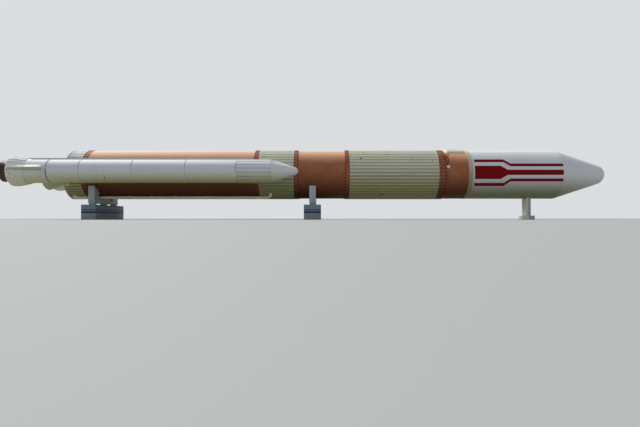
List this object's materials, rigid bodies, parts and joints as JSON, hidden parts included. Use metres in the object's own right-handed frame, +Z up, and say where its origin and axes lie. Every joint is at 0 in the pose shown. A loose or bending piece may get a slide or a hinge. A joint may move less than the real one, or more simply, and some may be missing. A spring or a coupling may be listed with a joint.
{
  "type": "space rocket on display supports, half-size scale model",
  "caption": "Half-size space rocket lying on concrete display supports, with a foam-covered core, ribbed skins, white fairing, side boosters and gimballed nozzles.",
  "frame": {"origin": "on the floor under the middle of the rocket's length, on its centre plane", "axes": "+X towards the nose, +Y to the left looking forward, +Z up"},
  "size_m": [24.12, 4.319, 2.937],
  "materials": {
    "foam": "matte",
    "band": "matte",
    "primer": "satin",
    "white_paint": "satin",
    "grey_paint": "satin",
    "nozzle_liner": "matte",
    "steel": "satin",
    "concrete": "matte"
  },
  "bodies": {
    "root": {"hydrogen_tank": "foam", "oxygen_tank": "foam", "upper_tank": "foam", "aft_band": "band", "rear_band": "band", "middle_band": "band", "interstage_band": "band", "upper_band": "band", "adapter_ring": "primer", "intertank": "primer", "interstage": "primer", "engine_section": "primer", "feed_line": "primer", "tunnel_hump": "primer", "fairing_cylinder": "white_paint", "fairing_nose": "white_paint", "side_box": "white_paint", "heat_shield": "grey_paint", "engine_mount": "steel", "right_aft_skirt": "white_paint", "right_case_1": "white_paint", "right_case_2": "white_paint", "right_case_3": "white_paint", "right_case_4": "white_paint", "right_forward_skirt": "white_paint", "right_nose_cone": "white_paint", "right_side_housing": "white_paint", "right_front_strut": "white_paint", "right_aft_strut": "white_paint", "right_cable_tunnel": "grey_paint", "right_aft_ring": "steel", "left_aft_skirt": "white_paint", "left_case_1": "white_paint", "left_case_2": "white_paint", "left_case_3": "white_paint", "left_case_4": "white_paint", "left_forward_skirt": "white_paint", "left_nose_cone": "white_paint", "left_side_housing": "white_paint", "left_front_strut": "white_paint", "left_aft_strut": "white_paint", "left_cable_tunnel": "grey_paint", "left_aft_ring": "steel", "rear_block": "concrete", "middle_block": "concrete", "rear_saddle": "concrete", "middle_saddle": "concrete", "front_base": "concrete", "front_column": "concrete"},
    "engine_gimbal": {"engine_gimbal": "steel"},
    "main_engine": {"engine_bell": "primer"},
    "right_bearing": {"right_nozzle_ring": "steel"},
    "right_nozzle_body": {"right_nozzle": "nozzle_liner"},
    "left_bearing": {"left_nozzle_ring": "steel"},
    "left_nozzle_body": {"left_nozzle": "nozzle_liner"}
  },
  "joints": [
    {"name": "main_pitch", "type": "hinge", "parent": "root", "child": "engine_gimbal", "pos_m": [-9.97, 0, 1.875], "axis": [0, 1, 0], "range_deg": [-7, 7]},
    {"name": "main_yaw", "type": "hinge", "parent": "engine_gimbal", "child": "main_engine", "pos_m": [-9.97, 0, 1.875], "axis": [0, 0, 1], "range_deg": [-7, 7]},
    {"name": "right_pitch", "type": "hinge", "parent": "root", "child": "right_bearing", "pos_m": [-10.7, -1.55, 1.875], "axis": [0, 1, 0], "range_deg": [-5, 5]},
    {"name": "right_yaw", "type": "hinge", "parent": "right_bearing", "child": "right_nozzle_body", "pos_m": [-10.7, -1.55, 1.875], "axis": [0, 0, 1], "range_deg": [-5, 5]},
    {"name": "left_pitch", "type": "hinge", "parent": "root", "child": "left_bearing", "pos_m": [-10.7, 1.55, 1.875], "axis": [0, 1, 0], "range_deg": [-5, 5]},
    {"name": "left_yaw", "type": "hinge", "parent": "left_bearing", "child": "left_nozzle_body", "pos_m": [-10.7, 1.55, 1.875], "axis": [0, 0, 1], "range_deg": [-5, 5]}
  ]
}
